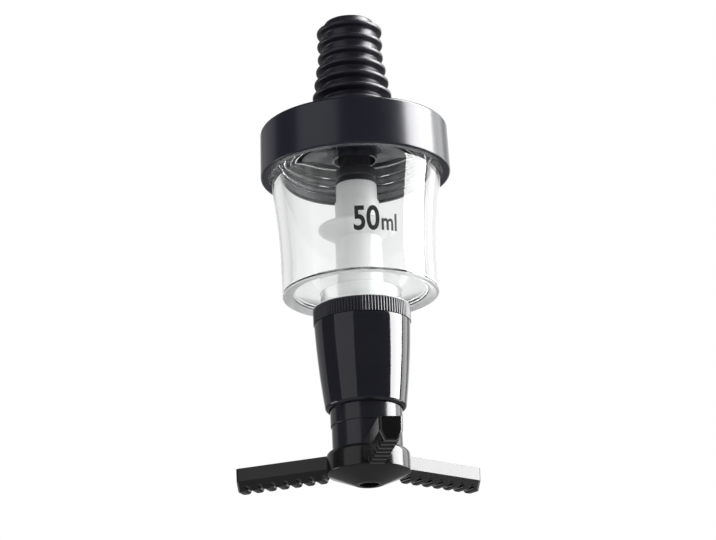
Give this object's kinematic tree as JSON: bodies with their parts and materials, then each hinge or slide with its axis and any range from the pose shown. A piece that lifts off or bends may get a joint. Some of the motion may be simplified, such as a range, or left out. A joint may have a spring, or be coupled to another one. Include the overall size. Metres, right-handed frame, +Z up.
{
  "type": "non-drip pour spout",
  "caption": "Bar measure for an upside-down bottle: finned cork, screw cap, clear chamber, and a sprung plunger with toothed arms that a glass pushes up to release one measure.",
  "frame": {"origin": "on the axis, in the plane of the cap's top face that the bottle's mouth meets", "axes": "+Z up the axis into the bottle, one arm of the pusher along -Y"},
  "size_m": [0.0742, 0.0694, 0.1455],
  "materials": {
    "cork_rubber": "satin black moulded rubber",
    "seal_rubber": "matte black seal rubber",
    "cap_plastic": "satin black moulded plastic",
    "barrel_plastic": "polished black plastic",
    "hub_plastic": "semi-gloss black plastic",
    "clear_plastic": "clear polished plastic",
    "white_plastic": "milky white plastic",
    "nylon": "natural nylon",
    "steel": "stainless steel"
  },
  "bodies": {
    "housing": {"bottle_cork": "cork_rubber", "inlet_pipe": "cap_plastic", "pipe_clip": "steel", "pipe_gasket": "seal_rubber", "cap": "cap_plastic", "cap_gasket": "seal_rubber", "measuring_chamber": "clear_plastic", "outlet_seal": "seal_rubber", "gland_nut": "nylon", "neck_washer": "white_plastic", "lock_ring": "barrel_plastic", "barrel": "barrel_plastic", "guide_bush": "nylon", "return_spring": "steel"},
    "slider": {"slip_washer": "steel"},
    "plunger": {"inlet_valve": "seal_rubber", "valve_sleeve": "white_plastic", "stem_tube": "white_plastic", "plunger_sleeve": "barrel_plastic", "stem_o_ring": "seal_rubber", "pusher": "hub_plastic", "outlet_nozzle": "hub_plastic"}
  },
  "joints": [
    {"name": "push", "type": "slide", "parent": "housing", "child": "slider", "axis": [0, 0, 1], "range_m": [0, 0.007], "stiffness_N_per_m": 300, "springref_m": -0.02, "deforming": ["return_spring"]},
    {"name": "swivel", "type": "hinge", "parent": "slider", "child": "plunger", "pos_m": [0, 0, -0.092], "axis": [0, 0, 1], "continuous": true}
  ]
}
